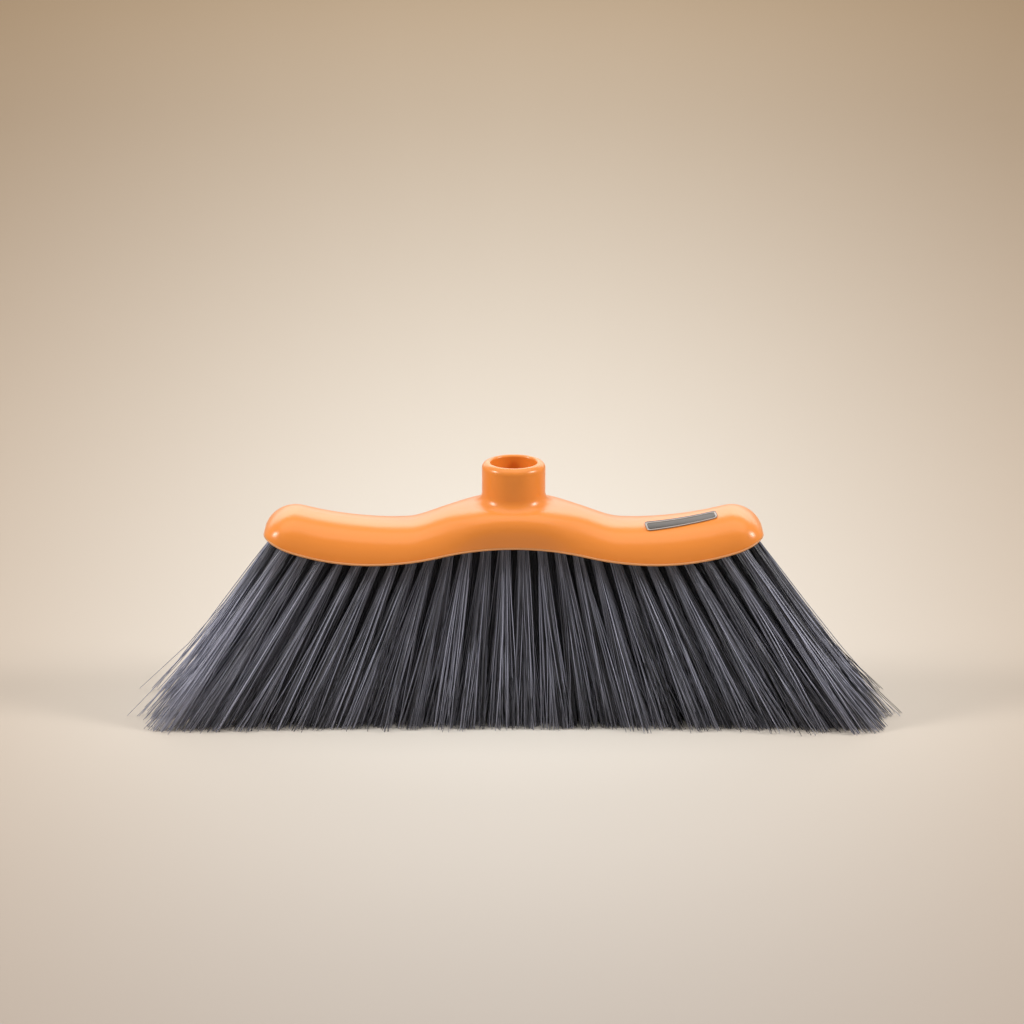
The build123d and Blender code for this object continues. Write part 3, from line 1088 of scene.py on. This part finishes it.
@dataclass
class RowBacking:
    """The thin strip of dark plastic that one row of tufts comes out of, under the block."""

    head: HeadForm
    grid: TuftGrid
    number: int
    finish: Material
    gap: float = 0.2 * MM
    inset: float = 2.65 * MM
    end_clear: float = 0.05 * MM
    side_clear: float = 0.02 * MM
    above_rim: float = 0.6 * MM
    thickness: float = 0.95 * MM
    steps: int = 120

    def points(self) -> Array:
        """A rectangle carried along the head under its lower edge, within the rounded plan.

        Returns:
            Vertices by place along the head, then round the rectangle.
        """
        reach = self.head.length / 2 - self.inset - self.end_clear
        x = reach * np.sin(np.linspace(-math.pi / 2, math.pi / 2, self.steps))
        middle, half = self.grid.row_at(self.number), (self.grid.row_pitch - self.gap) / 2
        limit = self.head.half_depth(x, self.inset) - self.side_clear
        outer = self.head.depth / 2
        low = -outer if self.number == 1 else middle - half
        high = outer if self.number == self.grid.rows else middle + half
        low, high = np.clip(low, -limit, limit), np.clip(high, -limit, limit)
        bottom = self.head.rim.height(x) + self.above_rim
        top = bottom + self.thickness
        corners = [(x, low, bottom), (x, low, top), (x, high, top), (x, high, bottom)]
        return np.stack([np.stack(corner, -1) for corner in corners], 1)

    def build(self) -> None:
        """Make the strip, dress it, let it ride on the head and stand for part of the solid row."""
        points = self.points()
        rings, sides = points.shape[:2]
        first = np.arange(sides)
        last = first + (rings - 1) * sides
        faces = [tube_quads(1, rings, sides)[:, ::-1], np.stack([first, last[::-1]])]
        name = f"backing_row_{self.number}"
        made = link_mesh(name, points.reshape(-1, 3), faces, smooth=False)
        made.data.materials.append(self.finish)
        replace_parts(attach(made, "root"), f"tuft_row_{self.number}")
        log.info("%s: %d faces", name, len(made.data.polygons))


@dataclass(frozen=True)
class Lamp:
    """A soft rectangular studio lamp."""

    name: str
    place: Triple
    aim: Triple
    size: tuple[float, float]
    power: float
    sheen_only: bool = False
    colour: Triple = (1.0, 0.98, 0.95)

    def build(self) -> None:
        """Make the lamp and point it at its aim."""
        data = bpy.data.lights.new(self.name, "AREA")
        data.shape = "RECTANGLE"
        data.size, data.size_y = self.size
        data.energy = self.power
        data.color = self.colour
        made = bpy.data.objects.new(self.name, data)
        made.visible_camera = False
        made.visible_diffuse = not self.sheen_only
        made.location = self.place
        towards = made.location.copy()
        towards.xyz = [aim - here for aim, here in zip(self.aim, self.place)]
        made.rotation_euler = towards.to_track_quat("-Z", "Y").to_euler()
        bpy.context.scene.collection.objects.link(made)


@dataclass
class Floor:
    """The wide paper floor, pale in the middle and painted darker away from the object as a painted
    falloff of light.
    """

    radius: float = 9.0
    turns: int = 96
    rings: int = 60
    middle_colour: Triple = (0.797, 0.750, 0.685)
    side_colour: Triple = (0.232, 0.110, 0.020)
    back_colour: Triple = (0.490, 0.249, 0.020)
    front_colour: Triple = (0.275, 0.220, 0.188)
    side_reach: float = 0.1365
    widens_from: float = 2.2
    narrowest: float = 0.3
    back_reach: float = 2.522
    back_power: float = 1.204
    front_reach: float = 0.2575
    front_power: float = 1.338
    side_most: float = 1.2
    back_most: float = 1.2
    front_most: float = 3.0
    roughness: float = 0.9
    specular: float = 0.1

    def points(self) -> Array:
        """A level disc, radius by turn, whose rings grow as a square from the middle.

        Returns:
            The middle, then the vertices by ring and turn, one row of three each.
        """
        turn = np.arange(self.turns) * 2 * math.pi / self.turns
        radius = (self.radius * np.linspace(0.0, 1.0, self.rings + 1)[1:] ** 2)[:, None]
        level = np.zeros((self.rings, self.turns))
        points = np.stack([radius * np.cos(turn), radius * np.sin(turn), level], -1)
        return np.concatenate([np.zeros((1, 3)), points.reshape(-1, 3)])

    def colours(self, points: Array) -> Array:
        """The paper's colour at every vertex, with a painted falloff of light that darkens it away
        from the middle.

        It is the mean of four colours, weighed by 1 for the middle and by how far the vertex is to
        the side, to the back and to the front, each over its own reach and up to a limit. The reach
        to the side widens towards the back.

        Args:
            points: the floor's vertices.

        Returns:
            One row of four to a vertex.
        """
        x, y = points[:, 0], points[:, 1]
        side = (x / (self.side_reach * np.maximum(y + self.widens_from, self.narrowest))) ** 2
        back = (np.maximum(y, 0.0) / self.back_reach) ** self.back_power
        front = (np.maximum(-y, 0.0) / self.front_reach) ** self.front_power
        weights = np.stack([np.ones(len(points)), side, back, front], -1)
        weights = np.minimum(weights, [1.0, self.side_most, self.back_most, self.front_most])
        weights /= weights.sum(1, keepdims=True)
        # The side, back and front colours paint the light's falloff away from the middle.
        ends = [self.middle_colour, self.side_colour, self.back_colour, self.front_colour]
        return np.column_stack([weights @ np.array(ends), np.ones(len(points))])

    def material(self) -> Material:
        """Matt paper in the colours that the floor carries, painted falloff of light included.

        Returns:
            The new material.
        """
        made, shader = new_material("floor_paper")
        inputs = {
            "Base Color": add_attribute(made.node_tree, "paper_and_painted_falloff").outputs["Color"],
            "Roughness": self.roughness,
            "Specular IOR Level": self.specular,
        }
        fill_inputs(made.node_tree, shader, inputs)
        return made

    def build(self) -> None:
        """Make the floor and colour it."""
        points = self.points()
        quads = tube_quads(1, self.rings, self.turns)[:, ::-1] + 1
        around = np.arange(self.turns)
        hub = np.stack([np.zeros_like(around), around + 1, (around + 1) % self.turns + 1], -1)
        made = link_mesh("floor", points, [quads, hub])
        paper_and_painted_falloff = made.data.attributes.new("paper_and_painted_falloff", "FLOAT_COLOR", "POINT")
        paper_and_painted_falloff.data.foreach_set("color", self.colours(points).astype(np.float32).ravel())
        made.data.materials.append(self.material())


@dataclass(frozen=True)
class Camera:
    """A long lens at the photograph's angle, tilted up a little from the object."""

    lens: float = 107.5
    sensor: float = 36.0
    clip: tuple[float, float] = (0.05, 60.0)
    distance: float = 1.5
    elevation: float = math.radians(18.5)
    tilt_up: float = math.radians(1.482)
    target_height: float = 0.062
    sideways: float = -0.0008

    def build(self) -> None:
        """Make the camera and let the scene look through it."""
        data = bpy.data.cameras.new("camera")
        data.lens = self.lens
        data.sensor_width = self.sensor
        data.clip_start, data.clip_end = self.clip
        made = bpy.data.objects.new("camera", data)
        back = self.distance * math.cos(self.elevation)
        up = self.target_height + self.distance * math.sin(self.elevation)
        made.location = (self.sideways, -back, up)
        made.rotation_euler = (math.pi / 2 - self.elevation + self.tilt_up, 0.0, 0.0)
        bpy.context.scene.collection.objects.link(made)
        bpy.context.scene.camera = made


@dataclass
class Studio:
    """The pale floor, the soft lamps, the plain surround and the camera."""

    surround: Triple = (0.80, 0.72, 0.62)
    ambient: Triple = (0.26, 0.255, 0.25)
    lamps: tuple[Lamp, ...] = (
        Lamp("lamp_above", (0.0, -0.25, 1.9), aim=(0.0, -0.25, 0.0), size=(2.6, 2.0), power=23.0),
        Lamp("lamp_backdrop", (0.0, 2.6, 1.8), aim=(0.0, 2.6, 0.0), size=(3.5, 1.6), power=24.0),
        Lamp(
            "lamp_behind",
            (0.0, 1.55, 0.85),
            aim=(0.0, 0.0, 0.3),
            size=(2.6, 1.1),
            power=13.0,
            sheen_only=True,
        ),
        Lamp("lamp_left", (-1.6, -0.35, 0.95), aim=(0.0, 0.0, 0.08), size=(0.4, 0.5), power=18.0),
        Lamp("lamp_right", (1.6, -0.35, 0.95), aim=(0.0, 0.0, 0.08), size=(0.4, 0.5), power=18.0),
    )

    def build(self) -> None:
        """Make everything round the object."""
        Floor().build()
        self.world()
        Camera().build()
        for lamp in self.lamps:
            lamp.build()
        bpy.context.scene.view_settings.view_transform = "Standard"

    def world(self) -> None:
        """A pale surround for what is seen or mirrored, and an even ambient light for the rest."""
        world = bpy.data.worlds.new("studio")
        world.use_nodes = True
        bpy.context.scene.world = world
        tree = world.node_tree
        seen = tree.nodes["Background"]
        seen.inputs["Color"].default_value = (*self.surround, 1.0)
        soft = tree.nodes.new("ShaderNodeBackground")
        soft.inputs["Color"].default_value = (*self.ambient, 1.0)
        path = tree.nodes.new("ShaderNodeLightPath").outputs
        either = add_math(tree, "MAXIMUM", path["Is Camera Ray"], path["Is Glossy Ray"])
        mix = tree.nodes.new("ShaderNodeMixShader")
        fill_inputs(tree, mix, {"Fac": either, 1: soft.outputs[0], 2: seen.outputs[0]})
        tree.links.new(mix.outputs[0], tree.nodes["World Output"].inputs["Surface"])


def main() -> None:
    """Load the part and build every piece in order."""
    logging.basicConfig(level=logging.INFO, format="%(name)s: %(message)s")
    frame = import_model()
    head, grid = HeadForm(), TuftGrid()
    CarriedNodes().dress(frame["nodes"])
    BadgeFrame(head).build()
    strand = BRISTLE.material()
    backing = frame["nodes"]["tuft_block"].data.materials[0]
    for number in grid.numbers():
        BristleRow(head, grid, number, strand).build()
        RowBacking(head, grid, number, backing).build()
    Studio().build()


if __name__ == "__main__":
    main()
